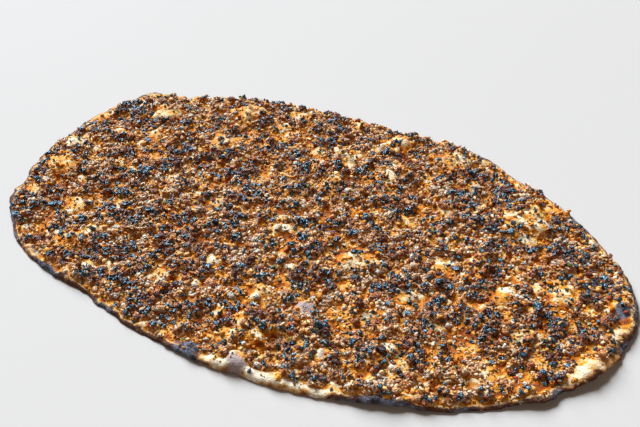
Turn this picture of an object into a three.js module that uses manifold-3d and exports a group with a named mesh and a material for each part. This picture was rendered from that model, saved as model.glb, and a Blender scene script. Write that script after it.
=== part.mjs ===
// Lahmacun: a thin oval flatbread spread to its edge with fine spiced mince and baked until it blisters.
// Two pieces: the dough with its blisters and turned-up edge, and the layer of mince that lies on it.
// Millimetres, +Z up. The dough rests on z = 0, and the long axis runs along X.
import * as THREE from "three";
import { mergeVertices } from "three/addons/utils/BufferGeometryUtils.js";
import Module from "manifold-3d";

// Driving dimensions
const halfLength = 190;
const halfWidth = 115;
const doughThickness = 2.6;
const edgeThickness = 1.7; // dough at the very edge
const toppingThickness = 2.1;
const contactGap = 0.3; // between the dough and the mince on it

// The flat part of the underside ends at this share of the radius, and the edge may turn up outside it.
const flatShare = 0.86;
// The mince stops short of the edge, at this share of the radius.
const toppingShare = 0.955;

// Steps of the two round meshes
const stepsAround = 72;
const stepsAcross = 9;
const blisterSides = 12;
const blisterSteps = 5;
const stepsUnder = 2; // rings of the flat underside, which needs few

// Hand-stretched outline: each lobe adds a share of the radius, with its peak at an angle in degrees.
const outlineLobes = [
  { waves: 3, share: 0.013, peak: 0 },
  { waves: 4, share: 0.019, peak: -43 },
  { waves: 5, share: 0.015, peak: 0 },
  { waves: 13, share: 0.005, peak: 8 },
];

// Local bulges and dents of the outline: angle and spread in degrees, share of the radius.
const outlineBumps = [
  { at: -159, spread: 5, share: -0.026 },
  { at: -115, spread: 7, share: -0.024 },
  { at: -89, spread: 6, share: 0.028 },
  { at: -33, spread: 6, share: 0.024 },
  { at: 22, spread: 6, share: 0.016 },
  { at: 58, spread: 4, share: -0.022 },
  { at: 74, spread: 5, share: 0.036 },
  { at: 86, spread: 4, share: -0.026 },
  { at: 135, spread: 4, share: -0.03 },
  { at: 142, spread: 4, share: 0.018 },
  { at: 174, spread: 7, share: -0.018 },
];

// Where the edge turns up from the table or puffs up: angle and spread in degrees, rise in millimetres.
const edgeLifts = [
  { at: -92, spread: 5, rise: 1.2 },
  { at: -60, spread: 7, rise: 2.2 },
  { at: -33, spread: 6, rise: 2.4 },
  { at: -18, spread: 8, rise: 3.6 },
  { at: 8, spread: 12, rise: 1.6 },
  { at: 68, spread: 9, rise: 2.2 },
  { at: 140, spread: 9, rise: 2.0 },
  { at: -145, spread: 8, rise: 1.8 },
];
const edgePuffs = [
  { at: -84, spread: 4, rise: 2.6 },
  { at: -76, spread: 5, rise: 1.9 },
  { at: -59, spread: 4, rise: 1.6 },
  { at: 6, spread: 9, rise: 1.4 },
  { at: 40, spread: 6, rise: 1.0 },
  { at: 105, spread: 8, rise: 1.0 },
  { at: 172, spread: 9, rise: 1.0 },
  { at: -122, spread: 6, rise: 1.4 },
];

// Air blisters that push up through the mince: centre, radius and height in millimetres.
const blisters = [
  { x: 41, y: -20, radius: 12, height: 4.4 },
  { x: 118, y: 58, radius: 17, height: 5.2 },
  { x: 154, y: 5, radius: 12, height: 3.8 },
  { x: 21, y: 94, radius: 13, height: 4.8 },
  { x: 59, y: 92, radius: 12, height: 5.0 },
  { x: -5, y: 70, radius: 12, height: 4.4 },
  { x: 31, y: 68, radius: 12, height: 4.0 },
  { x: -132, y: 57, radius: 12, height: 4.8 },
  { x: -84, y: 83, radius: 13, height: 4.6 },
  { x: -80, y: 47, radius: 12, height: 4.0 },
  { x: -158, y: -19, radius: 12, height: 4.6 },
  { x: -110, y: -74, radius: 12, height: 4.2 },
  { x: 8, y: -64, radius: 11, height: 4.0 },
  { x: 19, y: -87, radius: 14, height: 5.0 },
];

const radians = THREE.MathUtils.degToRad;
const wasm = await Module();
wasm.setup();

// Share by which the outline's radius differs from the plain oval's at an angle in radians
function outlineScale(angle) {
  let scale = 1;
  for (const lobe of outlineLobes) {
    scale += lobe.share * Math.cos(lobe.waves * (angle - radians(lobe.peak)));
  }
  for (const bump of outlineBumps) {
    scale += bump.share * nearness(angle, bump);
  }
  return scale;
}

// 1 at a feature's own angle, falling smoothly to 0 beyond its spread
function nearness(angle, { at, spread }) {
  const turn = angle - radians(at);
  const shortest = Math.atan2(Math.sin(turn), Math.cos(turn));
  return Math.exp(-((shortest / radians(spread)) ** 2));
}

// Summed rise of a list of edge features at an angle in radians
function edgeRise(features, angle) {
  return features.reduce((rise, feature) => rise + feature.rise * nearness(angle, feature), 0);
}

// Underside: flat inside, turned up at the edge where the bake lifted it
function undersideHeight(share, angle) {
  const outward = THREE.MathUtils.smoothstep(share, flatShare, 1);
  return edgeRise(edgeLifts, angle) * outward;
}

// Gentle waves of the baked sheet, from its long and short rolls
function sheetWave(x, y) {
  const longRoll = 0.45 * Math.sin(x / 27 + 0.8) * Math.cos(y / 31 - 0.4);
  const shortRoll = 0.3 * Math.sin(x / 13 - y / 17) * Math.sin(y / 12 + 1.1);
  return longRoll + shortRoll;
}

// Top of the dough without its blisters
function doughTop(share, angle, x, y) {
  const thin = THREE.MathUtils.smoothstep(share, flatShare, 1);
  const puff = edgeRise(edgePuffs, angle) * THREE.MathUtils.smoothstep(share, 0.88, 0.97);
  const thickness = THREE.MathUtils.lerp(doughThickness, edgeThickness, thin);
  return undersideHeight(share, angle) + thickness + puff + sheetWave(x, y) * (1 - 0.5 * thin);
}

// Top of the mince, which is patchy and thins out towards its own edge
function toppingTop(share, angle, x, y) {
  const patch = 1 + 0.3 * Math.sin(x / 9 + 2 * Math.sin(y / 14)) * Math.cos(y / 8 - x / 21);
  const inside = 1 - THREE.MathUtils.smoothstep(share / toppingShare, 0.93, 1);
  const thickness = toppingThickness * patch * (0.45 + 0.55 * inside);
  return doughTop(share, angle, x, y) + contactGap + thickness;
}

// A round sheet as one lathed solid. Its profile is in shares of the radius, and level 0 is the lower
// face, 1 the upper; each point then moves out to the oval outline and to its level's height.
function roundSheet(profile, lowerHeight, upperHeight) {
  const points = profile.map(([share, level]) => new THREE.Vector2(share, level));
  const sheet = new THREE.LatheGeometry(points, stepsAround).rotateX(Math.PI / 2);
  const position = sheet.attributes.position;
  for (let i = 0; i < position.count; i++) {
    const share = Math.hypot(position.getX(i), position.getY(i));
    const angle = Math.atan2(position.getY(i), position.getX(i));
    const level = position.getZ(i);
    const scale = outlineScale(angle) * share;
    const x = halfLength * scale * Math.cos(angle);
    const y = halfWidth * scale * Math.sin(angle);
    const low = lowerHeight(share, angle, x, y);
    const high = upperHeight(share, angle, x, y);
    position.setXYZ(i, x, y, THREE.MathUtils.lerp(low, high, level));
  }
  return sheet;
}

// Rings from the middle out to a share of the radius, closer together towards the edge
function rings(count, outerShare) {
  return Array.from({ length: count + 1 }, (_, i) => outerShare * Math.pow(i / count, 0.8));
}

function doughSheet() {
  const edgeShare = 0.985;
  const under = rings(stepsUnder, flatShare).map((share) => [share, 0]);
  const over = rings(stepsAcross, edgeShare).map((share) => [share, 1]);
  const turnUp = [
    [0.93, 0],
    [edgeShare, 0],
    [1, 0.5],
  ];
  return roundSheet([...under, ...turnUp, ...over.reverse()], undersideHeight, doughTop);
}

// The mince reaches down into the dough, and the dough raised by the gap is then cut from it.
function toppingSheet() {
  const sunk = 0.8;
  const lower = (...place) => doughTop(...place) - sunk;
  const steps = rings(stepsAcross - 1, toppingShare);
  const under = steps.map((share) => [share, 0]);
  const over = steps.map((share) => [share, 1]);
  return roundSheet([...under, ...over.reverse()], lower, toppingTop);
}

// A blister: a round hump that runs out level at its foot, with a plug that reaches down into the dough
function blisterGeometry({ x, y, radius, height }) {
  const foot = doughThickness + sheetWave(x, y);
  const plug = 1.1;
  const profile = [new THREE.Vector2(0, foot - plug), new THREE.Vector2(radius, foot - plug)];
  for (let i = 0; i <= blisterSteps; i++) {
    const share = 1 - i / blisterSteps;
    const rise = height * (0.5 + 0.5 * Math.cos(Math.PI * share));
    profile.push(new THREE.Vector2(radius * share, foot + rise));
  }
  return new THREE.LatheGeometry(profile, blisterSides).rotateX(Math.PI / 2).translate(x, y, 0);
}

// Closed three.js geometry to a solid that can be joined and cut, and back
function toSolid(geometry) {
  const bare = geometry.clone().deleteAttribute("normal").deleteAttribute("uv");
  const merged = mergeVertices(bare, 1e-3);
  return new wasm.Manifold(
    new wasm.Mesh({
      numProp: 3,
      vertProperties: new Float32Array(merged.attributes.position.array),
      triVerts: new Uint32Array(merged.index.array),
    }),
  );
}

function toGeometry(solid) {
  const mesh = solid.getMesh();
  const geometry = new THREE.BufferGeometry();
  geometry.setAttribute("position", new THREE.BufferAttribute(mesh.vertProperties, 3));
  geometry.setIndex(new THREE.BufferAttribute(mesh.triVerts, 1));
  geometry.computeVertexNormals();
  return geometry;
}

// The largest connected piece, so that no loose sliver stays beside it
function largestPiece(solid) {
  return solid.decompose().reduce((a, b) => (a.volume() > b.volume() ? a : b));
}

function doughSolid() {
  let solid = toSolid(doughSheet());
  for (const blister of blisters) {
    solid = solid.add(toSolid(blisterGeometry(blister)));
  }
  return solid;
}

function flatbread() {
  const crust = new THREE.MeshStandardMaterial({ color: 0xd9a766, roughness: 0.75, metalness: 0 });
  const mesh = new THREE.Mesh(toGeometry(dough), crust);
  mesh.name = "flatbread";
  return mesh;
}

function minceTopping() {
  const raised = dough.translate([0, 0, contactGap]);
  const layer = toSolid(toppingSheet()).subtract(raised);
  const mince = new THREE.MeshStandardMaterial({ color: 0x7a4426, roughness: 0.5, metalness: 0 });
  const mesh = new THREE.Mesh(toGeometry(largestPiece(layer)), mince);
  mesh.name = "mince_topping";
  return mesh;
}

// Centres the pair over the origin, so that it is the middle of the bounding box's floor
function centred(group) {
  const box = new THREE.Box3().setFromObject(group);
  const middle = box.getCenter(new THREE.Vector3());
  group.position.set(-middle.x, -middle.y, 0);
  return group;
}

const dough = doughSolid();
const lahmacun = new THREE.Group();
lahmacun.add(flatbread(), minceTopping());

export default centred(lahmacun);
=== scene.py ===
import math
import bpy
import numpy as np
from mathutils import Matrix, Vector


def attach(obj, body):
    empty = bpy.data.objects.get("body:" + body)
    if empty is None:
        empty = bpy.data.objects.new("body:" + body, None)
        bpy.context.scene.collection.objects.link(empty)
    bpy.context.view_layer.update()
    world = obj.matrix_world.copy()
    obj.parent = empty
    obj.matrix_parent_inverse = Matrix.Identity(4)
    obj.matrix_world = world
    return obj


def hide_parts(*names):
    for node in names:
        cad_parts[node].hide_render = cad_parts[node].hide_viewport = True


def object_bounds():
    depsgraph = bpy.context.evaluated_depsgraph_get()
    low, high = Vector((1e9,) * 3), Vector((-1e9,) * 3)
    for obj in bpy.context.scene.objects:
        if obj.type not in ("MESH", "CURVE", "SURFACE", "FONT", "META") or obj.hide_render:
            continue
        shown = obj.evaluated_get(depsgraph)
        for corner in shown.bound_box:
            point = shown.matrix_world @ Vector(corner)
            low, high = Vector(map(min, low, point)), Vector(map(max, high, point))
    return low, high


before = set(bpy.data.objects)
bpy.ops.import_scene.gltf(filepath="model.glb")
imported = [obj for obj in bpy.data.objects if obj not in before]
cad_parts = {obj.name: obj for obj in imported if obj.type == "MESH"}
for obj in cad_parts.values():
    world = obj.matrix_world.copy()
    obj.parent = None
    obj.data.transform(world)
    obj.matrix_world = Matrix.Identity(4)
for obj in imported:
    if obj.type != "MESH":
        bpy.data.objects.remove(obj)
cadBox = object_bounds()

scene = bpy.context.scene
print("lahmacun: frame loaded with", len(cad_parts), "nodes")


def smoothStep(value, low, high):
    t = np.clip((value - low) / (high - low), 0, 1)
    return t * t * (3 - 2 * t)


def mixed(a, b, share):
    return a + (b - a) * share


tableSize = 64  # the noises repeat after this many steps
tableShift = 10 * tableSize  # keeps their steps above zero


# random heights on a turned square lattice, blended smoothly, 0 to 1
def softNoise(x, y, size, seed):
    rng = np.random.default_rng(seed)
    table = rng.random((tableSize, tableSize))
    turn = rng.uniform(0, math.pi)
    u = (x * math.cos(turn) - y * math.sin(turn)) / size + tableShift
    v = (x * math.sin(turn) + y * math.cos(turn)) / size + tableShift
    i, j = np.floor(u).astype(int), np.floor(v).astype(int)
    fu, fv = smoothStep(u - i, 0, 1), smoothStep(v - j, 0, 1)
    i, j, nextI, nextJ = (step % tableSize for step in (i, j, i + 1, j + 1))
    low = mixed(table[i, j], table[nextI, j], fu)
    high = mixed(table[i, nextJ], table[nextI, nextJ], fu)
    return mixed(low, high, fv)


roughLayers = [(1, 1), (0.48, 0.5), (0.23, 0.25)]  # size and weight, each finer and weaker


def roughNoise(x, y, size, seed):
    total = 0
    for k, (finer, weight) in enumerate(roughLayers):
        total = total + weight * softNoise(x, y, size * finer, seed + k)
    return total / sum(weight for finer, weight in roughLayers)


# winding creases: 1 along the crest lines, lower between them
def creases(x, y, size, seed):
    broad = 1 - abs(2 * softNoise(x, y, size, seed) - 1)
    fine = 1 - abs(2 * softNoise(x, y, size * 0.45, seed + 1) - 1)
    return 0.65 * broad + 0.35 * fine


# rounded lumps packed side by side: 1 on top of a lump, 0 in the gaps
def lumps(x, y, size, seed):
    rng = np.random.default_rng(seed)
    offset = rng.random((tableSize, tableSize, 2))
    swell = rng.uniform(0.65, 1.0, (tableSize, tableSize))
    u, v = x / size + tableShift, y / size + tableShift
    i, j = np.floor(u).astype(int), np.floor(v).astype(int)
    best = np.zeros_like(u)
    for di in (-1, 0, 1):
        for dj in (-1, 0, 1):
            ci, cj = (i + di) % tableSize, (j + dj) % tableSize
            du = i + di + offset[ci, cj, 0] - u
            dv = j + dj + offset[ci, cj, 1] - v
            reach = swell[ci, cj]
            inside = np.clip(1 - (du * du + dv * dv) / (0.72 * reach) ** 2, 0, 1)
            best = np.maximum(best, reach * np.sqrt(inside))
    return best


sheet = {  # the rolled dough, in metres; angles are in degrees round the oval
    "halfLength": 0.190,
    "halfWidth": 0.115,
    "thickness": 0.0026,
    "edgeThickness": 0.0017,
    "flatShare": 0.86,  # the underside lies flat out to this share of the radius
    "lobes": [(3, 0.013, 0), (4, 0.019, -43), (5, 0.015, 0), (13, 0.005, 8)],  # waves, share, peak
    "bumps": [  # angle, spread, share of the radius
        (-159, 5, -0.026), (-115, 7, -0.024), (-89, 6, 0.028), (-33, 6, 0.024),
        (22, 6, 0.016), (58, 4, -0.022), (74, 5, 0.036), (86, 4, -0.026),
        (135, 4, -0.030), (142, 4, 0.018), (174, 7, -0.018),
    ],
    "lifts": [  # angle, spread, how far the edge turns up
        (-92, 5, 0.0012), (-60, 7, 0.0022), (-33, 6, 0.0024), (-18, 8, 0.0036),
        (8, 12, 0.0016), (68, 9, 0.0022), (140, 9, 0.0020), (-145, 8, 0.0018),
    ],
    "puffs": [  # angle, spread, how far the edge swells
        (-84, 4, 0.0026), (-76, 5, 0.0019), (-59, 4, 0.0016), (6, 9, 0.0014),
        (40, 6, 0.0010), (105, 8, 0.0010), (172, 9, 0.0010), (-122, 6, 0.0014),
    ],
    "puffFrom": (0.88, 0.97),  # shares of the radius where the swelling starts and is full
    "rollHeight": 0.00045,  # the whole sheet waves gently
    "rollLength": 0.027,
    "rollWidth": 0.031,
    "rollAtRim": 0.5,
    "folds": (0.0080, 31),  # size, seed
    "foldHeight": 0.0012,
    "foldAtRim": 0.6,
    "foldLevel": 0.6,  # folds higher than this share rise, the rest sink
    "rimFolds": (0.0095, 33),
    "rimFoldHeight": 0.0013,
    "rimFoldFrom": (0.93, 0.97),
    "raggedEdge": 0.012,  # share of the radius
    "raggedFrom": 0.9,
    "bites": (0.0075, 5),
    "nicks": (0.0028, 6),
    "nickWeight": 0.6,
    "roundedFrom": 0.975,  # share of the radius where the rim starts to round off
    "rimStep": 0.4,  # share of the thickness left upright at the very edge
}

blisters = {  # x, y, radius, height and how bare of mince, 1 is quite bare
    "big": [
        (0.041, -0.020, 0.012, 0.0044, 0.8), (0.118, 0.058, 0.017, 0.0052, 0.7),
        (0.154, 0.005, 0.012, 0.0038, 0.9), (0.021, 0.094, 0.013, 0.0048, 0.9),
        (0.059, 0.092, 0.012, 0.0050, 0.8), (-0.005, 0.070, 0.012, 0.0044, 0.7),
        (0.031, 0.068, 0.012, 0.0040, 0.7), (-0.132, 0.057, 0.012, 0.0048, 1.0),
        (-0.084, 0.083, 0.013, 0.0046, 1.0), (-0.080, 0.047, 0.012, 0.0040, 0.8),
        (-0.158, -0.019, 0.012, 0.0046, 0.9), (-0.110, -0.074, 0.012, 0.0042, 0.9),
        (0.008, -0.064, 0.011, 0.0040, 0.9), (0.017, -0.087, 0.014, 0.0050, 0.4),
    ],
    "middling": [
        (0.124, -0.006, 0.007, 0.0024, 0.9), (0.129, 0.076, 0.007, 0.0020, 0.8),
        (-0.012, 0.104, 0.008, 0.0022, 0.8), (-0.052, 0.095, 0.008, 0.0024, 0.9),
        (-0.157, -0.047, 0.008, 0.0026, 0.9), (-0.128, -0.049, 0.009, 0.0026, 0.9),
        (-0.104, -0.062, 0.008, 0.0024, 1.0), (-0.047, -0.075, 0.008, 0.0024, 0.8),
        (0.006, -0.096, 0.008, 0.0022, 0.9), (-0.027, -0.051, 0.007, 0.0024, 0.9),
        (0.077, 0.076, 0.007, 0.0022, 0.8), (0.180, 0.013, 0.009, 0.0024, 0.9),
        (0.176, -0.036, 0.010, 0.0016, 1.0), (-0.104, -0.036, 0.007, 0.0024, 0.9),
        (-0.006, -0.012, 0.007, 0.0022, 0.9), (0.087, -0.002, 0.007, 0.0022, 0.8),
        (0.077, -0.029, 0.008, 0.0022, 0.9), (0.140, -0.028, 0.008, 0.0022, 0.8),
        (0.094, -0.075, 0.009, 0.0020, 0.7), (0.185, -0.006, 0.008, 0.0016, 0.9),
        (0.149, 0.016, 0.007, 0.0020, 0.8), (-0.169, 0.004, 0.008, 0.0024, 0.9),
        (0.034, -0.060, 0.006, 0.0022, 1.0), (0.058, -0.083, 0.006, 0.0022, 1.0),
        (-0.003, -0.111, 0.007, 0.0022, 1.0), (0.020, -0.107, 0.008, 0.0028, 1.0),
        (0.042, -0.107, 0.006, 0.0014, 1.0), (0.070, -0.103, 0.007, 0.0014, 1.0),
    ],
    "scorched": [  # x, y, radius
        (0.034, -0.060, 0.0055), (0.058, -0.083, 0.005), (-0.020, 0.030, 0.004),
        (0.110, 0.030, 0.004), (0.022, -0.109, 0.007),
    ],
    "burnt": [  # x, y, radius
        (-0.004, -0.110, 0.011), (0.093, -0.097, 0.009),
        (0.183, 0.010, 0.007), (-0.120, -0.086, 0.008),
    ],
    "scattered": {
        "seed": 13, "count": 60, "share": (0, 0.97), "radius": (0.0042, 0.0080), "height": (0.0010, 0.0024),
    },
    "tiny": {
        "seed": 11, "count": 170, "share": (0, 0.97), "radius": (0.0022, 0.0048), "height": (0.0006, 0.0016),
    },
    "rim": {
        "seed": 12, "count": 90, "share": (0.955, 0.99), "radius": (0.0022, 0.0050), "height": (0.0004, 0.0013),
    },
    "warp": 1.1,  # how far their outlines wander, in radii
    "warps": [(0.007, 21), (0.007, 22)],  # size, seed
    "creases": (0.0055, 23),
    "creased": (0.72, 1.17),  # share of the height in the creases and between them
    "roundness": 0.75,
    "bareFrom": (0.2, 0.75),
}

topping = {  # the spread mince, in metres
    "patches": (0.0070, 41),  # size and seed of the clusters of mince and the gaps between them
    "valleys": (0.0130, 43),
    "valleyShare": 0.35,
    "bareBelow": 0.355,
    "steepness": 0.0120,
    "shallowest": -0.0015,
    "deepest": 0.0020,
    "clumps": (0.0062, 52),
    "clumpHeight": 0.0024,
    "clumpLevel": 0.45,  # lumps higher than this share rise, the rest sink
    "crumbs": (0.0024, 61),
    "crumbHeight": 0.0006,
    "crumbLevel": 0.4,
    "dip": 0.0028,  # how far it sinks over bare blisters and at the rim
    "thinnest": 0.0004,
    "coverFrom": (0.0001, 0.0012),  # depths that hide none and all of the dough
    "heat": (0.0070, 103),  # patches that the oven browned more or less
    "heatWeights": (0.68, 0.25, 0.12),  # of those patches, the clumps and the clusters
    "bareRim": 0.008,  # share of the radius
    "bareEdge": (0.007, 45),
    "bareWander": 0.03,
    "bareBlend": 0.02,
    "bareAt": [  # angle, spread, extra bare share
        (-82, 11, 0.036), (-60, 8, 0.010), (-42, 6, 0.006), (-21, 6, 0.034), (4, 8, 0.020),
        (20, 10, 0.008), (-124, 6, 0.018), (-108, 4, 0.012), (100, 20, 0.006), (150, 15, 0.008),
        (60, 12, 0.006),
    ],
}


# 1 at one place on the rim, fading to 0 on both sides of it
def nearness(angle, at, spread):
    turn = (angle - math.radians(at) + math.pi) % (2 * math.pi) - math.pi
    return np.exp(-((turn / math.radians(spread)) ** 2))


def sumOf(features, angle):
    return sum(amount * nearness(angle, at, spread) for at, spread, amount in features)


def outlineScale(angle):
    scale = 1 + sum(
        share * np.cos(waves * (angle - math.radians(peak))) for waves, share, peak in sheet["lobes"])
    return scale + sumOf(sheet["bumps"], angle)


# small bites and tongues along the rim
def raggedness(share, angle):
    x, y = sheet["halfLength"] * np.cos(angle), sheet["halfWidth"] * np.sin(angle)
    bites = softNoise(x, y, *sheet["bites"]) - 0.5
    bites = bites + sheet["nickWeight"] * (softNoise(x, y, *sheet["nicks"]) - 0.5)
    return 1 + sheet["raggedEdge"] * bites * smoothStep(share, sheet["raggedFrom"], 1)


# where a share of the radius lies at an angle
def pointAt(share, angle):
    scale = outlineScale(angle) * share * raggedness(share, angle)
    return sheet["halfLength"] * scale * np.cos(angle), sheet["halfWidth"] * scale * np.sin(angle)


# and back: share of the radius and angle of a point
def placeOf(x, y):
    u, v = x / sheet["halfLength"], y / sheet["halfWidth"]
    angle = np.arctan2(v, u)
    share = np.hypot(u, v) / outlineScale(angle)
    return share / raggedness(share, angle), angle


def scatterBlisters(look):
    rng = np.random.default_rng(look["seed"])
    low, high = look["share"]
    found = []
    for _ in range(look["count"]):
        x, y = pointAt(math.sqrt(rng.uniform(low * low, high * high)), rng.uniform(-math.pi, math.pi))
        size = rng.random() ** 1.6
        radius, height = mixed(*look["radius"], size), mixed(*look["height"], size)
        found.append((x, y, radius, height, rng.uniform(0.1, 0.8)))
    return found


allBlisters = blisters["big"] + blisters["middling"] + scatterBlisters(blisters["scattered"])
allBlisters += scatterBlisters(blisters["tiny"]) + scatterBlisters(blisters["rim"])


# creased domes: their height, how near each point is to a crown, and how bare of mince they are
def blisterField(x, y):
    height, crown, bare = np.zeros_like(x), np.zeros_like(x), np.zeros_like(x)
    warp, reach = blisters["warp"], 0.5 + blisters["warp"]
    warpX, warpY = (roughNoise(x, y, *settings) - 0.5 for settings in blisters["warps"])
    folded = mixed(*blisters["creased"], creases(x, y, *blisters["creases"]))
    for cx, cy, radius, top, bareShare in allBlisters:
        near = np.flatnonzero((abs(x - cx) < reach * radius) & (abs(y - cy) < reach * radius))
        dx = (x[near] - cx) / radius + warp * warpX[near]
        dy = (y[near] - cy) / radius + warp * warpY[near]
        dome = np.clip(1 - (dx * dx + dy * dy), 0, 1) ** blisters["roundness"]
        height[near] = np.maximum(height[near], top * dome)
        crown[near] = np.maximum(crown[near], dome)
        bare[near] = np.maximum(bare[near], bareShare * smoothStep(dome, *blisters["bareFrom"]))
    return height * folded, crown, bare


# the dough: its top, its underside, its blisters and its folds
def surveyDough(x, y, share, angle):
    thin = smoothStep(share, sheet["flatShare"], 1)
    under = sumOf(sheet["lifts"], angle) * thin
    blisterHeight, crown, bare = blisterField(x, y)
    fold, rimFold = creases(x, y, *sheet["folds"]), creases(x, y, *sheet["rimFolds"])
    nearRim = smoothStep(share, *sheet["rimFoldFrom"])
    roll = sheet["rollHeight"] * np.sin(x / sheet["rollLength"] + 0.8) * np.cos(y / sheet["rollWidth"] - 0.4)
    body = mixed(sheet["thickness"], sheet["edgeThickness"], thin) + roll * mixed(1, sheet["rollAtRim"], thin)
    body = body + sumOf(sheet["puffs"], angle) * smoothStep(share, *sheet["puffFrom"]) + blisterHeight
    body = body + sheet["foldHeight"] * mixed(1, sheet["foldAtRim"], thin) * (fold - sheet["foldLevel"])
    body = body + sheet["rimFoldHeight"] * (rimFold - sheet["foldLevel"]) * nearRim
    outer = np.clip((share - sheet["roundedFrom"]) / (1 - sheet["roundedFrom"]), 0, 1)
    dough = under + body * mixed(sheet["rimStep"], 1, np.sqrt(1 - outer * outer))
    return {"under": under, "dough": dough, "crown": crown, "bare": bare, "fold": fold}


# every height and share that the pieces need at the given points
def survey(x, y, share=None, angle=None):
    if share is None:
        share, angle = placeOf(x, y)
    at = surveyDough(x, y, share, angle)
    patch, valley = roughNoise(x, y, *topping["patches"]), 1 - creases(x, y, *topping["valleys"])
    patch = mixed(patch, valley, topping["valleyShare"])
    depth = topping["steepness"] * (patch - topping["bareBelow"])
    depth = np.clip(depth, topping["shallowest"], topping["deepest"])
    clump, crumb = lumps(x, y, *topping["clumps"]), lumps(x, y, *topping["crumbs"])
    edge = 1 - topping["bareRim"] - sumOf(topping["bareAt"], angle)
    edge = edge + topping["bareWander"] * (roughNoise(x, y, *topping["bareEdge"]) - 0.5)
    rim = smoothStep(share, edge - topping["bareBlend"], edge)
    depth = depth + topping["clumpHeight"] * (clump - topping["clumpLevel"])
    depth = depth - topping["dip"] * np.maximum(at["bare"], rim)
    sources = (roughNoise(x, y, *topping["heat"]), clump, patch)
    heat = sum(weight * source for weight, source in zip(topping["heatWeights"], sources))
    mince = at["dough"] + depth + topping["crumbHeight"] * (crumb - topping["crumbLevel"])
    mince = np.maximum(mince, at["under"] + topping["thinnest"])
    cover = smoothStep(depth, *topping["coverFrom"])
    return dict(
        at, share=share, angle=angle, mince=mince, depth=depth, cover=cover, rim=rim, crumb=crumb, heat=heat)


# the frame's origin is the middle of the outline
outlineX, outlineY = pointAt(np.ones(1440), np.linspace(-math.pi, math.pi, 1440))
middle = np.array([(outlineX.min() + outlineX.max()) / 2, (outlineY.min() + outlineY.max()) / 2, 0])


# one mesh with its material and a value for each point, riding on the one body
def addPiece(name, points, faces, material, values, smooth=True):
    mesh = bpy.data.meshes.new(name)
    mesh.from_pydata(points - middle, [], faces)
    mesh.polygons.foreach_set("use_smooth", np.full(len(faces), smooth))
    for key, value in values.items():
        mesh.attributes.new(key, "FLOAT", "POINT").data.foreach_set("value", np.asarray(value, np.float32))
    mesh.materials.append(material)
    mesh.update()
    piece = bpy.data.objects.new(name, mesh)
    scene.collection.objects.link(piece)
    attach(piece, "root")
    print("lahmacun:", name, "has", sum(len(polygon.vertices) - 2 for polygon in mesh.polygons), "triangles")
    return piece


# an even grid bent into a disc: share of the radius, angle, quads and the rim's points in order
def discGrid(stepsLong, stepsWide):
    along, across = np.linspace(-1, 1, stepsLong + 1), np.linspace(-1, 1, stepsWide + 1)
    u, v = (a.ravel() for a in np.meshgrid(along, across, indexing="ij"))
    sideways = abs(u) >= abs(v)
    wide = np.where(sideways, u, v)
    turn = math.pi / 4 * np.where(sideways, v, -u) / np.where(wide == 0, 1, wide)
    angle = turn + np.where(sideways, 0, math.pi / 2) + np.where(wide < 0, math.pi, 0)
    angle = (angle + math.pi) % (2 * math.pi) - math.pi
    index = np.arange(len(u)).reshape(stepsLong + 1, stepsWide + 1)
    quads = np.stack([index[:-1, :-1], index[1:, :-1], index[1:, 1:], index[:-1, 1:]], -1).reshape(-1, 4)
    rim = np.concatenate([index[-1, :-1], index[:0:-1, -1], index[0, :0:-1], index[:-1, 0]])
    return abs(wide), angle, quads, rim


# a closed sheet: a fine top, rings that turn under the edge, and a coarser bottom
def closedSheet(look, topHeight, underHeight):
    share, angle, quads, rim = discGrid(*look["steps"])
    denser = look["edgeDetail"] * np.sin(math.pi * share) / math.pi  # smaller faces near the rim
    share = look["outer"] * (share + denser)
    x, y = pointAt(share, angle)
    points, faces = [np.stack([x, y, topHeight(survey(x, y, share, angle))], 1)], [quads]
    last, lastAngle, count = rim, angle[rim], len(share)
    for ringShare, raised in look["rings"]:
        shares = np.full(len(rim), ringShare * look["outer"])
        x, y = pointAt(shares, lastAngle)
        points.append(np.stack([x, y, underHeight(survey(x, y, shares, lastAngle)) + raised], 1))
        ring = count + np.arange(len(rim))
        faces.append(np.stack([last, ring, np.roll(ring, -1), np.roll(last, -1)], 1))
        last, count = ring, count + len(rim)
    ratio = look["coarseness"]
    share, angle, quads, rim = discGrid(look["steps"][0] // ratio, look["steps"][1] // ratio)
    share = look["bottomShare"] * look["rings"][-1][0] * look["outer"] * share
    x, y = pointAt(share, angle)
    points.append(np.stack([x, y, underHeight(survey(x, y, share, angle))], 1))
    faces.append(quads[:, ::-1] + count)
    coarse, fine = rim + count, last.reshape(-1, ratio)
    nextCoarse = np.roll(coarse, -1)
    nextFine = np.roll(last, -1).reshape(-1, ratio)
    for k in range(ratio):
        corner = coarse if k <= ratio // 2 else nextCoarse
        faces.append(np.stack([fine[:, k], corner, nextFine[:, k]], 1))
    faces.append(np.stack([nextFine[:, ratio // 2], coarse, nextCoarse], 1))
    return np.concatenate(points), [face for group in faces for face in group.tolist()]


def newMaterial(name):
    material = bpy.data.materials.new(name)
    material.use_nodes = True
    material.node_tree.nodes.clear()
    return material, material.node_tree


def addNode(tree, kind, **settings):
    node = tree.nodes.new(kind)
    for key, value in settings.items():
        setattr(node, key, value)
    return node


# link a socket, or set it when the value is plain
def feed(tree, socket, value):
    if isinstance(value, bpy.types.NodeSocket):
        tree.links.new(value, socket)
    elif isinstance(value, tuple):
        socket.default_value = (*value, 1)
    elif value is not None:
        socket.default_value = value


def ramp(tree, source, stops):
    node = tree.nodes.new("ShaderNodeValToRGB")
    while len(node.color_ramp.elements) < len(stops):
        node.color_ramp.elements.new(0.5)
    for element, (position, colour) in zip(node.color_ramp.elements, stops):
        element.position = position
        element.color = (*colour, 1)
    tree.links.new(source, node.inputs["Fac"])
    return node.outputs["Color"]


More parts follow.
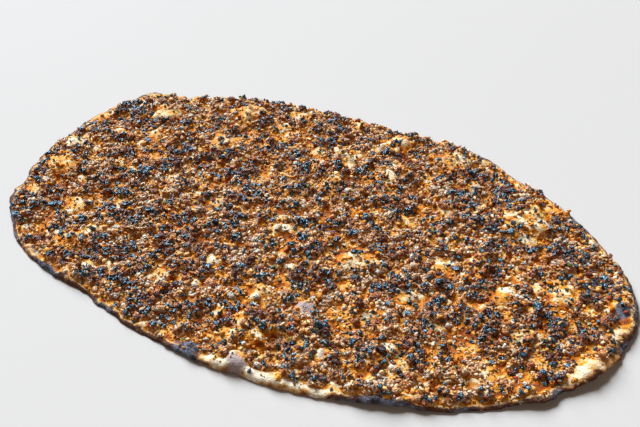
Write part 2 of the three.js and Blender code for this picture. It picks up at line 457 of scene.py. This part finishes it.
def mixColour(tree, share, a, b, kind="MIX"):
    node = addNode(tree, "ShaderNodeMix", data_type="RGBA", blend_type=kind)
    for socket, value in ((node.inputs[0], share), (node.inputs[6], a), (node.inputs[7], b)):
        feed(tree, socket, value)
    return node.outputs[2]


def maths(tree, operation, a, b=None, clamp=False):
    node = addNode(tree, "ShaderNodeMath", operation=operation, use_clamp=clamp)
    for socket, value in zip(node.inputs, (a, b)):
        feed(tree, socket, value)
    return node.outputs[0]


# a value that varies round a half, turned into one that varies round nothing
def swing(tree, value, amount):
    return maths(tree, "MULTIPLY", maths(tree, "SUBTRACT", value, 0.5), amount)


def stepBetween(tree, value, low, high):
    node = addNode(tree, "ShaderNodeMapRange", interpolation_type="SMOOTHSTEP")
    for name, given in (("Value", value), ("From Min", low), ("From Max", high)):
        feed(tree, node.inputs[name], given)
    return node.outputs["Result"]


def attribute(tree, name):
    return addNode(tree, "ShaderNodeAttribute", attribute_name=name).outputs["Fac"]


def newGroup(name, inputs, outputs):
    group = bpy.data.node_groups.new(name, "ShaderNodeTree")
    for key, value in inputs.items():
        group.interface.new_socket(key, in_out="INPUT", socket_type="NodeSocketFloat").default_value = value
    for key in outputs:
        group.interface.new_socket(key, in_out="OUTPUT", socket_type="NodeSocketFloat")
    return group, group.nodes.new("NodeGroupInput").outputs, group.nodes.new("NodeGroupOutput").inputs


# patches with ragged edges: a mask that is 1 inside them, and the height that made them
def makeMottle():
    inputs = {"Scale": 200, "Cover": 0.5, "Softness": 0.1, "Push": 0}
    group, given, made = newGroup("mottle", inputs, ("Mask", "Height"))
    noise = group.nodes.new("ShaderNodeTexNoise")
    noise.inputs["Detail"].default_value = 5
    noise.inputs["Roughness"].default_value = 0.62
    group.links.new(group.nodes.new("ShaderNodeTexCoord").outputs["Object"], noise.inputs["Vector"])
    group.links.new(given["Scale"], noise.inputs["Scale"])
    low = maths(group, "SUBTRACT", 1.0, given["Cover"])
    high = maths(group, "ADD", low, given["Softness"])
    pushed = maths(group, "ADD", noise.outputs["Fac"], given["Push"])
    group.links.new(stepBetween(group, pushed, low, high), made["Mask"])
    group.links.new(noise.outputs["Fac"], made["Height"])
    return group


# fine crumbly relief: rounded cells over a fine grain, and a number of its own for each cell
def makeCrumble():
    group, given, made = newGroup("crumble", {"Scale": 500, "Grain": 0.35}, ("Height", "Cells"))
    place = group.nodes.new("ShaderNodeTexCoord").outputs["Object"]
    cells = addNode(group, "ShaderNodeTexVoronoi", feature="SMOOTH_F1")
    cells.inputs["Smoothness"].default_value = 0.35
    grain = group.nodes.new("ShaderNodeTexNoise")
    grain.inputs["Detail"].default_value = 4
    for node, factor in ((cells, 1.0), (grain, 2.6)):
        group.links.new(place, node.inputs["Vector"])
        group.links.new(maths(group, "MULTIPLY", given["Scale"], factor), node.inputs["Scale"])
    dome = maths(group, "SUBTRACT", 1.0, cells.outputs["Distance"])
    fine = maths(group, "MULTIPLY", grain.outputs["Fac"], given["Grain"])
    group.links.new(maths(group, "ADD", dome, fine), made["Height"])
    tint = group.nodes.new("ShaderNodeSeparateColor")
    group.links.new(cells.outputs["Color"], tint.inputs["Color"])
    group.links.new(tint.outputs[0], made["Cells"])
    return group


mottle, crumble = makeMottle(), makeCrumble()


def useGroup(tree, group, **values):
    node = addNode(tree, "ShaderNodeGroup", node_tree=group)
    for name, value in values.items():
        feed(tree, node.inputs[name], value)
    return node.outputs


def finishShader(tree, finish, colour, roughness, height, wet=None):
    shader = tree.nodes.new("ShaderNodeBsdfPrincipled")
    bump = tree.nodes.new("ShaderNodeBump")
    bump.inputs["Distance"].default_value = finish["bump"]
    feed(tree, bump.inputs["Height"], height)
    feed(tree, shader.inputs["Normal"], bump.outputs["Normal"])
    if "paintedBlueSheen" in finish:  # where it's greasy the char goes metallic, and its colour there is a painted blue sheen for the cool window it reflects
        colour = mixColour(tree, wet, colour, finish["paintedBlueSheen"])
        feed(tree, shader.inputs["Metallic"], wet)
    feed(tree, shader.inputs["Base Color"], colour)
    feed(tree, shader.inputs["Roughness"], roughness)
    shader.inputs["IOR"].default_value = 1.45
    shader.inputs["Specular IOR Level"].default_value = finish["gloss"]
    shader.inputs["Specular Tint"].default_value = (*finish.get("glossTint", (1, 1, 1)), 1)
    tree.links.new(shader.outputs["BSDF"], tree.nodes.new("ShaderNodeOutputMaterial").inputs["Surface"])


bread = {
    "steps": (264, 160),  # faces along and across
    "coarseness": 4,  # how many times fewer underneath
    "edgeDetail": 0.2,
    "outer": 1.0,  # share of the radius
    "rings": [(0.997, 0.0003), (0.988, 0.0)],  # share of the radius, how far above the underside
    "bottomShare": 0.985,
    "crust": [
        (0.08, (0.82, 0.73, 0.59)), (0.25, (0.74, 0.64, 0.49)), (0.42, (0.68, 0.55, 0.38)),
        (0.58, (0.62, 0.34, 0.12)), (0.74, (0.32, 0.12, 0.035)), (0.92, (0.09, 0.035, 0.022)),
    ],
    "oil": [
        (0.10, (0.66, 0.56, 0.42)), (0.28, (0.66, 0.40, 0.125)), (0.48, (0.62, 0.210, 0.010)),
        (0.72, (0.42, 0.100, 0.005)), (1.0, (0.19, 0.038, 0.003)),
    ],
    "char": (0.030, 0.022, 0.025),
    # the ash colour is partly grey ash, partly a painted blue-grey sheen on the char
    "ashAndSheen": (0.17, 0.19, 0.26),
    "scorch": (0.33, 0.255, 0.255),
    "charAt": [  # angle, spread, how black
        (-91, 3.0, 0.9), (-60, 7, 0.9), (-46, 3, 0.6), (-30, 4, 0.8), (-6, 2, 1.0), (8, 7, 0.5),
        (39, 5, 1.0), (68, 4, 0.9), (90, 5, 0.5), (-145, 3, 0.8), (-136, 4, 0.6),
        (-124, 4, 1.2), (-109, 3, 0.9), (-100, 4, 0.5), (150, 12, 0.4), (180, 8, 0.5),
    ],
    "paleAt": [(-80, 13, 1.0), (-20, 7, 0.8)],  # angle, spread, how pale
    "edgeFrom": 0.95,  # share of the radius where the rim's own browning starts
    "crownPatches": (0.006, 82),  # size, seed
    "oiliest": 0.98,
    "foldTopsDryAndLit": 0.62,  # how much oil runs off the folds, and off the tops of blisters, leaving paler tops: partly dry dough, partly painted light
    "crownsDryAndLit": 0.55,
    "dryFrom": (0.972, 0.992),
    "dryWider": 0.03,  # more of the rim is dry where it's pale
    "toast": 0.36,
    "toastPatches": (0.02, 81),
    "unevenToast": 0.5,
    "rimToast": 0.45,
    "paler": 0.2,
    "smudges": (0.0065, 83),  # toasted marks on the rim
    "smudge": 0.55,
    "blushes": (0.0045, 85),  # toasted tops of blisters
    "blush": 0.22,
    "charPatches": (0.0055, 84),
    "thinCharPatches": (0.012, 71),  # the very edge, where the rim isn't pale
    "thinChar": 0.5,
    "brownRoundChar": 0.32,
    "browning": 0.9,  # how strongly the fine patches show in the toast, and in the oil
    "pooling": 1.0,
    "charring": 0.85,
    "grain": 0.15,  # share of the fine grain in the bump
    "roughness": 0.7,
    "wetter": 0.3,  # how much smoother the oil is
    "finish": {"bump": 0.0016, "gloss": 0.12, "glossTint": (1.0, 0.92, 0.8)},
}


def makeDoughMaterial():
    material, tree = newMaterial("bakedDough")
    patches = useGroup(tree, mottle, Scale=210, Cover=0.5, Softness=0.25)
    browning = swing(tree, patches["Height"], bread["browning"])
    base = ramp(tree, maths(tree, "ADD", attribute(tree, "toast"), browning, clamp=True), bread["crust"])
    pools = useGroup(tree, mottle, Scale=430, Cover=0.5, Softness=0.3)
    spread = swing(tree, pools["Height"], bread["pooling"])
    soak = maths(tree, "ADD", attribute(tree, "oil"), spread, clamp=True)
    base = mixColour(tree, stepBetween(tree, soak, 0.06, 0.24), base, ramp(tree, soak, bread["oil"]))
    base = mixColour(tree, stepBetween(tree, attribute(tree, "scorch"), 0.2, 0.8), base, bread["scorch"])
    black = maths(tree, "MULTIPLY", attribute(tree, "char"), bread["charring"])
    burnt = useGroup(tree, mottle, Scale=320, Cover=0.05, Softness=0.25, Push=black)
    # patches of ash with a painted blue-grey sheen over the char
    ashSheenPatches = useGroup(tree, mottle, Scale=240, Cover=0.62, Softness=0.25)
    cinderAndSheen = mixColour(tree, ashSheenPatches["Mask"], bread["char"], bread["ashAndSheen"])
    base = mixColour(tree, burnt["Mask"], base, cinderAndSheen)
    grain = useGroup(tree, crumble, Scale=1400, Grain=0.5)
    fine = maths(tree, "MULTIPLY", grain["Height"], bread["grain"])
    height = maths(tree, "ADD", pools["Height"], fine)
    wet = maths(tree, "MULTIPLY", stepBetween(tree, soak, 0.1, 0.6), bread["wetter"])
    finishShader(tree, bread["finish"], base, maths(tree, "SUBTRACT", bread["roughness"], wet), height)
    return material


# how near each point is to a spot's middle, uneven along the folds
def spotsOver(x, y, spots, fold):
    most = np.zeros_like(x)
    for cx, cy, radius in spots:
        uneven = 0.6 * (fold - sheet["foldLevel"])
        most = np.maximum(most, 1.3 - np.hypot(x - cx, y - cy) / radius - uneven)
    return most


def makeBread():
    points, faces = closedSheet(bread, lambda at: at["dough"], lambda at: at["under"])
    x, y = points[:, 0], points[:, 1]
    at = survey(x, y)
    share, angle = at["share"], at["angle"]
    upper = smoothStep(points[:, 2] - at["under"], 0.0005, 0.0014)
    crown = np.maximum(at["crown"] + 0.5 * (roughNoise(x, y, *bread["crownPatches"]) - 0.5), 0)
    paleRim = sumOf(bread["paleAt"], angle)
    edge = smoothStep(share, bread["edgeFrom"], 1)

    # oil pools in the dips, and the rim and the tops of blisters stay dry; the paler tops of folds and blisters
    # are partly painted light
    dryRim = smoothStep(share + bread["dryWider"] * paleRim, *bread["dryFrom"])
    oil = bread["oiliest"] - bread["foldTopsDryAndLit"] * smoothStep(at["fold"], 0.45, 0.9)
    oil = oil - bread["crownsDryAndLit"] * smoothStep(crown, 0.3, 0.95)
    oil = np.clip(oil, 0, 1) * upper * (1 - dryRim)

    outward = 0.25 * (share - 0.985) / 0.015  # smudges gather towards the very edge
    smudged = smoothStep(roughNoise(x, y, *bread["smudges"]) + outward, 0.56, 0.8)
    blushed = smoothStep(crown, 0.4, 1.0) * smoothStep(roughNoise(x, y, *bread["blushes"]), 0.45, 0.62)
    toast = bread["toast"] + bread["unevenToast"] * (roughNoise(x, y, *bread["toastPatches"]) - 0.5)
    toast = toast + edge * (bread["smudge"] * smudged + bread["rimToast"] * (1 - paleRim))
    toast = toast + bread["blush"] * blushed - bread["paler"] * paleRim * smoothStep(share, 0.93, 0.96)

    patchy = 0.45 + 1.1 * roughNoise(x, y, *bread["charPatches"])
    thinEdge = smoothStep(roughNoise(x, y, *bread["thinCharPatches"]), 0.42, 0.55)
    thinEdge = bread["thinChar"] * smoothStep(share, 0.985, 1.0) * thinEdge
    char = sumOf(bread["charAt"], angle) * edge * patchy + thinEdge * (1 - paleRim)
    scorch, burnt = (spotsOver(x, y, blisters[kind], at["fold"]) for kind in ("scorched", "burnt"))
    char = np.maximum(np.clip(char, 0, 1.2), np.clip(burnt, 0, 1.1))
    toast = toast + bread["brownRoundChar"] * smoothStep(char, 0.15, 0.6)

    values = {"oil": oil, "toast": toast, "char": char, "scorch": scorch}
    piece = addPiece("flatbread_baked", points, faces, makeDoughMaterial(), values)
    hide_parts("flatbread")


minceLayer = {
    "steps": (300, 184),
    "coarseness": 4,
    "edgeDetail": 0.2,
    "outer": 0.985,
    "rings": [(0.999, 0.0), (0.99, 0.0)],
    "bottomShare": 0.985,
    "sunk": 0.0008,  # how far its underside lies inside the dough
    "leastAbove": 0.0003,  # and how far it stays above the dough's underside
    "lowBelow": 0.0022,  # mince thinner than this is soaked
    "crumbRise": 0.0010,
    "meat": [
        (0.0, (0.11, 0.022, 0.003)), (0.35, (0.38, 0.120, 0.022)),
        (0.7, (0.56, 0.28, 0.12)), (1.0, (0.64, 0.47, 0.31)),
    ],
    "gravy": (0.70, 0.29, 0.026),
    "deepGravy": (0.34, 0.056, 0.003),
    "char": (0.034, 0.012, 0.008),
    "sinking": 0.45,  # how much more gravy stands in the low places
    "heating": 0.7,  # how much more char in the hot patches
    "charStrength": 0.85,
    "roughness": 0.55,
    "wetter": 0.15,  # how much smoother the gravy is
    "finish": {"bump": 0.0016, "gloss": 0.12, "glossTint": (1.0, 0.92, 0.85)},
}


def makeMinceMaterial():
    material, tree = newMaterial("bakedMince")
    crumbs = useGroup(tree, crumble, Scale=720, Grain=0.5)
    body = ramp(tree, crumbs["Cells"], minceLayer["meat"])
    pools = useGroup(tree, mottle, Scale=520, Cover=0.5, Softness=0.2)
    sauce = mixColour(tree, pools["Mask"], minceLayer["gravy"], minceLayer["deepGravy"])
    low = maths(tree, "MULTIPLY", attribute(tree, "low"), minceLayer["sinking"])
    gravy = useGroup(tree, mottle, Scale=300, Cover=0.28, Softness=0.2, Push=low)
    body = mixColour(tree, gravy["Mask"], body, sauce)
    hot = swing(tree, attribute(tree, "heat"), minceLayer["heating"])
    burnt = useGroup(tree, mottle, Scale=330, Cover=0.36, Softness=0.08, Push=hot)
    charred = maths(tree, "MULTIPLY", burnt["Mask"], minceLayer["charStrength"])
    body = mixColour(tree, charred, body, minceLayer["char"])
    wet = maths(tree, "MULTIPLY", gravy["Mask"], minceLayer["wetter"])
    roughness = maths(tree, "SUBTRACT", minceLayer["roughness"], wet)
    finishShader(tree, minceLayer["finish"], body, roughness, crumbs["Height"])
    return material


def makeMinceLayer():
    def underneath(at):
        return np.maximum(at["dough"] - minceLayer["sunk"], at["under"] + minceLayer["leastAbove"])

    points, faces = closedSheet(minceLayer, lambda at: at["mince"], underneath)
    at = survey(points[:, 0], points[:, 1])
    raised = minceLayer["crumbRise"] * (at["crumb"] - 0.5)
    low = 1 - smoothStep(at["depth"] + raised, 0, minceLayer["lowBelow"])
    values = {"low": low, "heat": at["heat"]}
    piece = addPiece("mince_layer", points, faces, makeMinceMaterial(), values)
    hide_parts("mince_topping")


def icosahedron():
    g = (1 + 5 ** 0.5) / 2
    flat = [(-1, g), (1, g), (-1, -g), (1, -g)]
    corners = [(a, b, 0) for a, b in flat] + [(0, a, b) for a, b in flat] + [(b, 0, a) for a, b in flat]
    faces = [(0, 11, 5), (0, 5, 1), (0, 1, 7), (0, 7, 10), (0, 10, 11), (1, 5, 9), (5, 11, 4), (11, 10, 2),
             (10, 7, 6), (7, 1, 8), (3, 9, 4), (3, 4, 2), (3, 2, 6), (3, 6, 8), (3, 8, 9), (4, 9, 5),
             (2, 4, 11), (6, 2, 10), (8, 6, 7), (9, 8, 1)]
    return np.array(corners) / math.hypot(1, g), np.array(faces)


# eight faces will do for the smallest grit
def octahedron():
    corners = np.concatenate([np.eye(3), -np.eye(3)])
    faces = [(0, 1, 2), (1, 3, 2), (3, 4, 2), (4, 0, 2), (1, 0, 5), (3, 1, 5), (4, 3, 5), (0, 4, 5)]
    return corners, np.array(faces)


def splitOnce(corners, faces):
    corners, known, made = list(corners), {}, []

    def between(a, b):
        key = (min(a, b), max(a, b))
        if key not in known:
            point = corners[a] + corners[b]
            corners.append(point / np.linalg.norm(point))
            known[key] = len(corners) - 1
        return known[key]

    for a, b, c in faces:
        ab, bc, ca = between(a, b), between(b, c), between(c, a)
        made += [(a, ab, ca), (b, bc, ab), (c, ca, bc), (ab, bc, ca)]
    return np.array(corners), np.array(made)


def roundNugget():
    return splitOnce(*icosahedron())


# turning matrices from quaternions given as four columns
def turnsFrom(q):
    w, x, y, z = (q / np.linalg.norm(q, axis=1, keepdims=True)).T
    return np.stack([
        np.stack([1 - 2 * (y * y + z * z), 2 * (x * y - z * w), 2 * (x * z + y * w)], -1),
        np.stack([2 * (x * y + z * w), 1 - 2 * (x * x + z * z), 2 * (y * z - x * w)], -1),
        np.stack([2 * (x * z - y * w), 2 * (y * z + x * w), 1 - 2 * (x * x + y * y)], -1),
    ], 1)


# flat bits lie down, tipped a little; the others tumble freely
def someTurns(rng, count, lying):
    if not lying:
        return turnsFrom(rng.normal(size=(count, 4)))
    spin = rng.uniform(0, math.pi, count)
    tip = rng.normal(0, 0.16, (count, 2))
    return turnsFrom(np.stack([np.cos(spin), tip[:, 0], tip[:, 1], np.sin(spin)], 1))


looseBits = {  # what every kind of bit starts from; its own dictionary says the rest
    "shape": icosahedron,
    "variants": 40,  # ragged shapes to pick from
    "proportion": (1, 1, 1),
    "lying": False,
    "curl": 0,
    "chipped": False,  # flat faces, like flakes of char
    "outer": 0.985,  # share of the radius
    "lowest": 0.0002,  # no point goes below this
    "onBlisters": 0.4,  # share of them left on bare blisters, and at the rim
    "atRim": 0.25,
    "footBand": (-0.2, 0.75),  # the foot's colour starts and ends here, in sizes from the middle
    "drift": 0,  # how much darker the hot patches are
    "browner": 0,  # how much darker the big ones are
    "shade": (0.36, 0.15, 0.05),  # fine darker patches
    "shadeStrength": 0.66,
    "soakedAndShaded": 0.85,  # how much of the colour at its foot comes from the sauce soaked in, and from painted shade low down
    "wet": 0.5,  # share of the surface that is greasy
    "dullness": 0.5,  # how much rougher the dry rest is
    "grainRoughness": 0.2,
}

latticeHalf = (0.2, 0.125)
rowStep = 0.866  # rows of a triangular lattice stand this much closer than its points


# spots on a shaken triangular lattice, fewer on bare dough; hot patches hold more char and less gold
def pickSpots(rng, look):
    pitch = look["pitch"]
    halfLong, halfWide = latticeHalf
    columns = np.arange(-halfLong, halfLong, pitch)
    rows = np.arange(-halfWide, halfWide, pitch * rowStep)
    x, y = np.meshgrid(columns, rows)
    x = (x + (np.arange(len(rows)) % 2 * pitch / 2)[:, None]).ravel()
    y = y.ravel()
    x = x + rng.uniform(-0.5, 0.5, len(x)) * pitch
    y = y + rng.uniform(-0.5, 0.5, len(y)) * pitch
    at = survey(x, y)
    wish = mixed(*look["density"], at["cover"])
    wish = wish * mixed(1, look["onBlisters"], at["bare"]) * mixed(1, look["atRim"], at["rim"])
    if "heat" in look:
        wish = wish * mixed(look["least"], 1, smoothStep(at["heat"], *look["heat"]))
    kept = (at["share"] < look["outer"]) & (rng.random(len(x)) < wish)
    return x[kept], y[kept], {key: value[kept] for key, value in at.items()}


def makeBitMaterial(name, look):
    material, tree = newMaterial(name)
    look = {**looseBits, **look}
    colour = ramp(tree, attribute(tree, "tone"), look["tones"])
    shade = useGroup(tree, mottle, Scale=1000, Cover=0.5, Softness=0.2)
    darker = mixColour(tree, 1.0, colour, look["shade"], "MULTIPLY")
    shaded = maths(tree, "MULTIPLY", shade["Mask"], look["shadeStrength"])
    colour = mixColour(tree, shaded, colour, darker)
    # the foot colour: sauce soaked into each bit, with painted shade at its bottom
    soakedAndShaded = maths(tree, "MULTIPLY", attribute(tree, "foot"), look["soakedAndShaded"])
    colour = mixColour(tree, soakedAndShaded, colour, look["foot"])
    grain = useGroup(tree, crumble, Scale=950, Grain=0.6)
    wet = useGroup(tree, mottle, Scale=650, Cover=look["wet"], Softness=0.12)
    greasy = maths(tree, "MULTIPLY", wet["Mask"], look["dullness"])
    dull = maths(tree, "SUBTRACT", look["roughness"] + look["dullness"], greasy)
    grainy = maths(tree, "MULTIPLY", grain["Cells"], look["grainRoughness"])
    roughness = maths(tree, "ADD", dull, grainy)
    finishShader(tree, look["finish"], colour, roughness, grain["Height"], wet["Mask"])
    return material


def addBits(name, look, material):
    look = {**looseBits, **look}
    rng = np.random.default_rng(look["seed"])
    x, y, at = pickSpots(rng, look)
    count = len(x)
    corners, faces = look["shape"]()
    rough = rng.uniform(-look["ragged"], look["ragged"], (look["variants"], len(corners), 1))
    shapes = corners[None] * (1 + rough)
    bulk = rng.random(count) ** look["skew"]
    size = mixed(*look["size"], bulk) / 2
    stretch = rng.uniform(*look["stretch"], (count, 3)) * np.array(look["proportion"])
    local = shapes[rng.integers(0, len(shapes), count)] * (stretch * size[:, None])[:, None, :]
    local[:, :, 2] += look["curl"] * local[:, :, 0] ** 2 / size[:, None]
    local = np.einsum("nij,nkj->nki", someTurns(rng, count, look["lying"]), local)
    ground = np.maximum(at["mince"], at["dough"])
    centre = np.stack([x, y, ground + rng.uniform(*look["lift"], count) * size], 1)
    points = (local + centre[:, None, :]).reshape(-1, 3)
    points[:, 2] = np.maximum(points[:, 2], look["lowest"])
    allFaces = (faces[None] + (np.arange(count) * len(corners))[:, None, None]).reshape(-1, 3)
    tone = rng.normal(look["tone"], look["toneSpread"], count)
    tone -= look["drift"] * (at["heat"] - 0.5) + look["browner"] * (bulk - 0.4)
    # 1 at the bottom of each bit, where sauce soaks in and shade is painted
    foot = 1 - smoothStep(local[:, :, 2] / size[:, None], *look["footBand"])
    values = {"tone": np.repeat(np.clip(tone, 0, 1), len(corners)), "foot": foot.ravel()}
    addPiece(name, points, allFaces.tolist(), material, values, not look["chipped"])


minceCrumbs = {  # pitch and size in metres; density on bare dough and in the mince; lift in sizes
    "seed": 101, "pitch": 0.0024, "density": (0.12, 0.9),
    "size": (0.0013, 0.0037), "skew": 1.6, "stretch": (0.42, 1.6), "ragged": 0.56, "lift": (-0.5, 0.4),
    "tone": 0.67, "toneSpread": 0.17, "drift": 2.6, "browner": 0.5,
    "tones": [
        (0.0, (0.065, 0.010, 0.002)), (0.28, (0.47, 0.125, 0.012)), (0.55, (0.67, 0.335, 0.115)),
        (0.85, (0.66, 0.50, 0.34)), (1.0, (0.66, 0.62, 0.53)),
    ],
    "foot": (0.51, 0.100, 0.002), "roughness": 0.26, "wet": 0.6,
    # the bluish gloss tint is a painted cool reflection on the crumbs' glints
    "finish": {"bump": 0.0015, "gloss": 0.8, "glossTint": (0.62, 0.84, 1.0)},
}

goldenCrumbs = {  # heat: where they are fewest and where most; least: their share left at the fewest
    "seed": 102, "pitch": 0.0023, "density": (0.60, 0.82), "heat": (0.58, 0.44), "least": 0.18,
    "size": (0.0010, 0.0028), "skew": 1.5, "stretch": (0.5, 1.5), "ragged": 0.42, "lift": (-0.2, 0.6),
    "tone": 0.52, "toneSpread": 0.24, "drift": 1.2,
    "tones": [
        (0.0, (0.33, 0.075, 0.004)), (0.4, (0.67, 0.24, 0.012)),
        (0.75, (0.70, 0.46, 0.18)), (1.0, (0.67, 0.62, 0.53)),
    ],
    "foot": (0.36, 0.090, 0.007), "roughness": 0.42,
    "finish": {"bump": 0.0004, "gloss": 0.08, "glossTint": (1.0, 0.9, 0.75)},
}

charredCrumbs = {
    "seed": 103, "pitch": 0.0020, "density": (0.34, 0.80), "heat": (0.46, 0.60), "least": 0.07,
    "size": (0.0010, 0.0030), "skew": 1.7, "stretch": (0.55, 1.45), "ragged": 0.42, "lift": (0.0, 0.7),
    "tone": 0.4, "toneSpread": 0.28, "chipped": True,
    "tones": [(0.0, (0.006, 0.005, 0.006)), (0.6, (0.017, 0.012, 0.013)), (1.0, (0.13, 0.040, 0.012))],
    "foot": (0.15, 0.020, 0.001), "roughness": 0.29, "wet": 0.74,
    # the char's blue where greasy is a painted sheen, the cool window's reflection set in its colour
    "finish": {"bump": 0.0006, "gloss": 0.0, "paintedBlueSheen": (0.066, 0.120, 0.165)},
}

minceNuggets = dict(
    minceCrumbs, seed=104, shape=roundNugget, pitch=0.0080, density=(0.1, 0.8),
    size=(0.0024, 0.0036), skew=1.8, stretch=(0.7, 1.25), ragged=0.2, lift=(-0.4, 0.15), tone=0.45)

minceGrit = dict(
    minceCrumbs, seed=108, shape=octahedron, pitch=0.0021, density=(0.35, 0.85),
    size=(0.0006, 0.0014), skew=1.2, ragged=0.3, lift=(0.1, 0.9), tone=0.74)

charredGrit = dict(
    charredCrumbs, seed=109, shape=octahedron, pitch=0.0021, density=(0.22, 0.66),
    size=(0.0006, 0.0013), skew=1.2, ragged=0.3, lift=(0.2, 1.0))

onionBits = {
    "seed": 105, "pitch": 0.0066, "density": (0.45, 0.6), "size": (0.0012, 0.0032), "skew": 1.6,
    "stretch": (0.7, 1.1), "ragged": 0.2, "proportion": (1.5, 0.7, 0.45), "lift": (0.0, 0.5), "lying": True,
    "tone": 0.6, "toneSpread": 0.3,
    "tones": [(0.0, (0.66, 0.36, 0.10)), (0.6, (0.84, 0.64, 0.34)), (1.0, (0.90, 0.80, 0.58))],
    "foot": (0.60, 0.24, 0.03), "shade": (0.7, 0.5, 0.3), "roughness": 0.35,
    "finish": {"bump": 0.0002, "gloss": 0.3},
}

pepperFlecks = {
    "seed": 106, "pitch": 0.0080, "density": (0.2, 0.4), "size": (0.0010, 0.0024), "skew": 1.6,
    "stretch": (0.7, 1.2), "ragged": 0.2, "proportion": (1.2, 0.8, 0.35), "lift": (0.2, 0.7), "lying": True,
    "tone": 0.5, "toneSpread": 0.3,
    "tones": [(0.0, (0.20, 0.012, 0.006)), (0.6, (0.50, 0.040, 0.012)), (1.0, (0.68, 0.14, 0.02))],
    "foot": (0.30, 0.03, 0.008), "roughness": 0.28,
    "finish": {"bump": 0.0002, "gloss": 0.3},
}

parsleyFlecks = {
    "seed": 107, "pitch": 0.0080, "density": (0.2, 0.4), "size": (0.0010, 0.0026), "skew": 1.6,
    "stretch": (0.7, 1.2), "ragged": 0.3, "proportion": (1.2, 0.9, 0.14), "lift": (0.3, 0.8), "lying": True,
    "curl": 0.5, "tone": 0.5, "toneSpread": 0.3,
    "tones": [(0.0, (0.06, 0.07, 0.015)), (0.6, (0.18, 0.21, 0.045)), (1.0, (0.36, 0.36, 0.12))],
    "foot": (0.06, 0.05, 0.01), "roughness": 0.45,
    "finish": {"bump": 0.0002, "gloss": 0.2},
}

makeBread()
makeMinceLayer()
crumbMaterial = makeBitMaterial("minceCrumb", minceCrumbs)
addBits("mince_crumbs", minceCrumbs, crumbMaterial)
addBits("mince_nuggets", minceNuggets, crumbMaterial)
addBits("mince_grit", minceGrit, crumbMaterial)
addBits("golden_crumbs", goldenCrumbs, makeBitMaterial("goldenCrumb", goldenCrumbs))
charMaterial = makeBitMaterial("charredCrumb", charredCrumbs)
addBits("charred_crumbs", charredCrumbs, charMaterial)
addBits("charred_grit", charredGrit, charMaterial)
addBits("onion_bits", onionBits, makeBitMaterial("onionBit", onionBits))
addBits("pepper_flecks", pepperFlecks, makeBitMaterial("pepperFleck", pepperFlecks))
addBits("parsley_flecks", parsleyFlecks, makeBitMaterial("parsleyFleck", parsleyFlecks))

stage = {
    "floorHalf": 12.0,
    "floorTones": ((0.414, 0.390, 0.387), (0.428, 0.404, 0.401)),
    "floorRoughness": 0.8,
    "floorFinish": {"bump": 0.0001, "gloss": 0.2},
    "sky": (1.0, 0.70, 0.47),
    "skyStrength": 0.155,
    "backdrop": (0.84, 0.84, 0.83),
    "lamps": [  # name, azimuth, elevation, softness in degrees, strength, colour
        ("window", 234, 40, 40, 9.35, (0.87, 0.96, 1.0)),
        ("fill", 60, 45, 30, 0.4, (1.0, 0.86, 0.72)),
    ],
    "lens": 50,
    "sensor": 36,
    "clip": (0.01, 20),
    "cameraAzimuth": 26.92,
    "cameraPitch": 40.0,
    "cameraAt": (0.1875, -0.3451, 0.3387),
}


def makeFloor():
    material, tree = newMaterial("paleFloor")
    tone = useGroup(tree, mottle, Scale=3, Cover=0.5, Softness=0.5)
    colour = mixColour(tree, tone["Mask"], *stage["floorTones"])
    finishShader(tree, stage["floorFinish"], colour, stage["floorRoughness"], tone["Height"])
    half = stage["floorHalf"]
    corners = [(-half, -half, 0), (half, -half, 0), (half, half, 0), (-half, half, 0)]
    mesh = bpy.data.meshes.new("floor")
    mesh.from_pydata(corners, [], [(0, 1, 2, 3)])
    mesh.materials.append(material)
    floor = bpy.data.objects.new("floor", mesh)
    floor.location.z = cadBox[0].z
    scene.collection.objects.link(floor)


def addLamp(name, azimuth, elevation, softness, strength, colour):
    lamp = bpy.data.lights.new(name, "SUN")
    lamp.angle, lamp.energy, lamp.color = math.radians(softness), strength, colour
    holder = bpy.data.objects.new(name, lamp)
    a, e = math.radians(azimuth), math.radians(elevation)
    holder.location = (math.sin(a) * math.cos(e), -math.cos(a) * math.cos(e), math.sin(e))
    holder.rotation_mode = "QUATERNION"
    holder.rotation_quaternion = holder.location.to_track_quat("Z", "Y")
    scene.collection.objects.link(holder)


def addCamera():
    data = bpy.data.cameras.new("camera")
    data.lens, data.sensor_width = stage["lens"], stage["sensor"]
    data.clip_start, data.clip_end = stage["clip"]
    camera = bpy.data.objects.new("camera", data)
    camera.location = np.array(stage["cameraAt"]) - middle
    camera.rotation_euler = (math.radians(90 - stage["cameraPitch"]), 0, math.radians(stage["cameraAzimuth"]))
    scene.collection.objects.link(camera)
    scene.camera = camera


# soft sky light, with a pale wall behind the floor
def addWorld():
    world = bpy.data.worlds.new("studio")
    world.use_nodes = True
    tree = world.node_tree
    sky, wall = tree.nodes["Background"], tree.nodes.new("ShaderNodeBackground")
    sky.inputs["Color"].default_value = (*stage["sky"], 1)
    sky.inputs["Strength"].default_value = stage["skyStrength"]
    wall.inputs["Color"].default_value = (*stage["backdrop"], 1)
    both = tree.nodes.new("ShaderNodeMixShader")
    tree.links.new(tree.nodes.new("ShaderNodeLightPath").outputs["Is Camera Ray"], both.inputs[0])
    tree.links.new(sky.outputs[0], both.inputs[1])
    tree.links.new(wall.outputs[0], both.inputs[2])
    tree.links.new(both.outputs[0], tree.nodes["World Output"].inputs["Surface"])
    scene.world = world


makeFloor()
addWorld()
for lampSettings in stage["lamps"]:
    addLamp(*lampSettings)
addCamera()
scene.view_settings.view_transform = "Standard"
print("lahmacun: stage ready")
